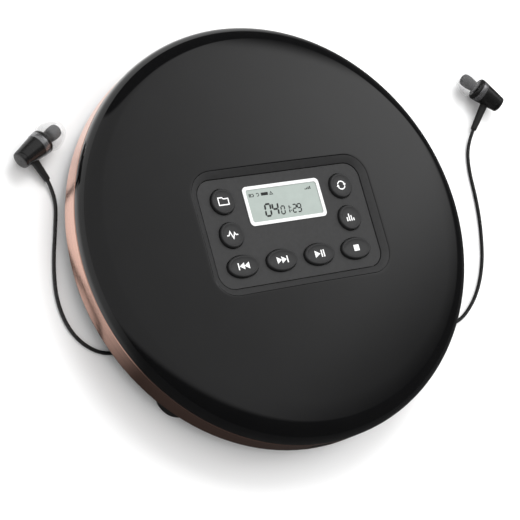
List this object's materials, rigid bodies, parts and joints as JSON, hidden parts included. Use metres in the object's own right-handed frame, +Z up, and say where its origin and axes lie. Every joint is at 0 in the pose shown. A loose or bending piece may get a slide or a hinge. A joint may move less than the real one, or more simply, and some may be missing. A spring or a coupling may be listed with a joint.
{
  "type": "portable cd player",
  "caption": "Round black portable disc player with a metallic band, lid control panel and display, and in-ear earphones plugged in.",
  "frame": {"origin": "on the surface the player stands on, under the centre of the round body", "axes": "+Z up, +Y from the centre to the lid hinge, +X to the side with the sockets"},
  "size_m": [0.1933, 0.14, 0.0254],
  "materials": {
    "gloss_black": "glossy black plastic",
    "rose_band": "metallic rose plating on plastic",
    "black_plastic": "satin black plastic",
    "panel_black": "fine matte black plastic",
    "button_black": "soft matte black plastic",
    "deck_grey": "dark grey plastic",
    "white_plastic": "white plastic",
    "clear_window": "clear window",
    "display": "liquid crystal display",
    "rubber": "black rubber",
    "silicone": "clear silicone",
    "board_green": "printed circuit board",
    "battery_wrap": "battery in a grey sleeve",
    "steel": "polished steel",
    "lens_glass": "coated lens",
    "gear_white": "natural acetal",
    "cord_black": "black cord jacket",
    "contact_metal": "plated contact"
  },
  "bodies": {
    "base": {"base_shell": "black_plastic", "battery": "battery_wrap", "cord_coil": "cord_black", "cord_lead": "cord_black", "cord_left": "cord_black", "cord_right": "cord_black", "cord_splitter": "black_plastic", "disc_deck": "deck_grey", "foot_1": "rubber", "foot_2": "rubber", "foot_3": "rubber", "foot_4": "rubber", "guide_rod_left": "steel", "guide_rod_right": "steel", "headphone_jack": "black_plastic", "hinge_pin": "steel", "idler_post": "steel", "left_housing": "black_plastic", "left_stem": "rubber", "left_tip": "silicone", "line_out_jack": "black_plastic", "main_board": "board_green", "mech_chassis": "steel", "plug_grip": "black_plastic", "plug_pin": "contact_metal", "right_housing": "black_plastic", "right_stem": "rubber", "right_tip": "silicone", "rim_ring": "rose_band", "sled_motor": "steel", "spindle_motor": "steel", "usb_socket": "steel"},
    "lid": {"lid_shell": "gloss_black", "lid_liner": "deck_grey", "lid_screw_1": "steel", "lid_screw_2": "steel", "control_panel": "panel_black", "lcd_frame": "white_plastic", "lcd_window": "clear_window", "lcd_module": "display", "panel_board": "board_green", "dome_switches": "steel"},
    "turntable": {"turntable": "deck_grey"},
    "pickup": {"pickup_sled": "deck_grey", "pickup_lens": "lens_glass"},
    "idler": {"idler_gear": "gear_white"},
    "pinion": {"motor_pinion": "gear_white"},
    "latch": {"open_button": "black_plastic"},
    "volume_up": {"volume_up_button": "black_plastic"},
    "volume_down": {"volume_down_button": "black_plastic"},
    "hold": {"hold_knob": "black_plastic"},
    "key_antiskip": {"button_antiskip": "button_black"},
    "key_folder": {"button_folder": "button_black"},
    "key_mode": {"button_mode": "button_black"},
    "key_next": {"button_next": "button_black"},
    "key_play_pause": {"button_play_pause": "button_black"},
    "key_previous": {"button_previous": "button_black"},
    "key_sound": {"button_sound": "button_black"},
    "key_stop": {"button_stop": "button_black"}
  },
  "joints": [
    {"name": "lid_hinge", "type": "hinge", "parent": "base", "child": "lid", "pos_m": [0, 0.0662, 0.0112], "axis": [-1, 0, 0], "range_deg": [0, 75]},
    {"name": "turntable_spin", "type": "hinge", "parent": "base", "child": "turntable", "pos_m": [0, 0, 0.0146], "axis": [0, 0, 1], "continuous": true},
    {"name": "sled_slide", "type": "slide", "parent": "base", "child": "pickup", "axis": [0, -1, 0], "range_m": [0, 0.028]},
    {"name": "idler_spin", "type": "hinge", "parent": "base", "child": "idler", "pos_m": [0.025, -0.031, 0.0084], "axis": [0, 0, 1], "range_deg": [0, 268]},
    {"name": "pinion_spin", "type": "hinge", "parent": "base", "child": "pinion", "pos_m": [0.03346, -0.02792, 0.0084], "axis": [0, 0, 1], "range_deg": [-536, 0]},
    {"name": "latch_press", "type": "slide", "parent": "base", "child": "latch", "axis": [0, 1, 0], "range_m": [0, 0.001], "stiffness_N_per_m": 300},
    {"name": "hold_slide", "type": "slide", "parent": "base", "child": "hold", "axis": [-0.6947, 0.7193, 0], "range_m": [0, 0.003]},
    {"name": "volume_up_press", "type": "slide", "parent": "base", "child": "volume_up", "axis": [-0.9135, -0.4067, 0], "range_m": [0, 0.0005], "stiffness_N_per_m": 400},
    {"name": "volume_down_press", "type": "slide", "parent": "base", "child": "volume_down", "axis": [-0.848, -0.5299, 0], "range_m": [0, 0.0005], "stiffness_N_per_m": 400},
    {"name": "key_antiskip_press", "type": "slide", "parent": "lid", "child": "key_antiskip", "axis": [0, 0, -1], "range_m": [0, 0.0004], "stiffness_N_per_m": 400},
    {"name": "key_folder_press", "type": "slide", "parent": "lid", "child": "key_folder", "axis": [0, 0, -1], "range_m": [0, 0.0004], "stiffness_N_per_m": 400},
    {"name": "key_mode_press", "type": "slide", "parent": "lid", "child": "key_mode", "axis": [0, 0, -1], "range_m": [0, 0.0004], "stiffness_N_per_m": 400},
    {"name": "key_next_press", "type": "slide", "parent": "lid", "child": "key_next", "axis": [0, 0, -1], "range_m": [0, 0.0004], "stiffness_N_per_m": 400},
    {"name": "key_play_pause_press", "type": "slide", "parent": "lid", "child": "key_play_pause", "axis": [0, 0, -1], "range_m": [0, 0.0004], "stiffness_N_per_m": 400},
    {"name": "key_previous_press", "type": "slide", "parent": "lid", "child": "key_previous", "axis": [0, 0, -1], "range_m": [0, 0.0004], "stiffness_N_per_m": 400},
    {"name": "key_sound_press", "type": "slide", "parent": "lid", "child": "key_sound", "axis": [0, 0, -1], "range_m": [0, 0.0004], "stiffness_N_per_m": 400},
    {"name": "key_stop_press", "type": "slide", "parent": "lid", "child": "key_stop", "axis": [0, 0, -1], "range_m": [0, 0.0004], "stiffness_N_per_m": 400}
  ],
  "couplings": [
    {"joint": "idler_spin", "follows": "sled_slide", "rad_per_m": 166.67},
    {"joint": "pinion_spin", "follows": "sled_slide", "rad_per_m": -333.33}
  ]
}
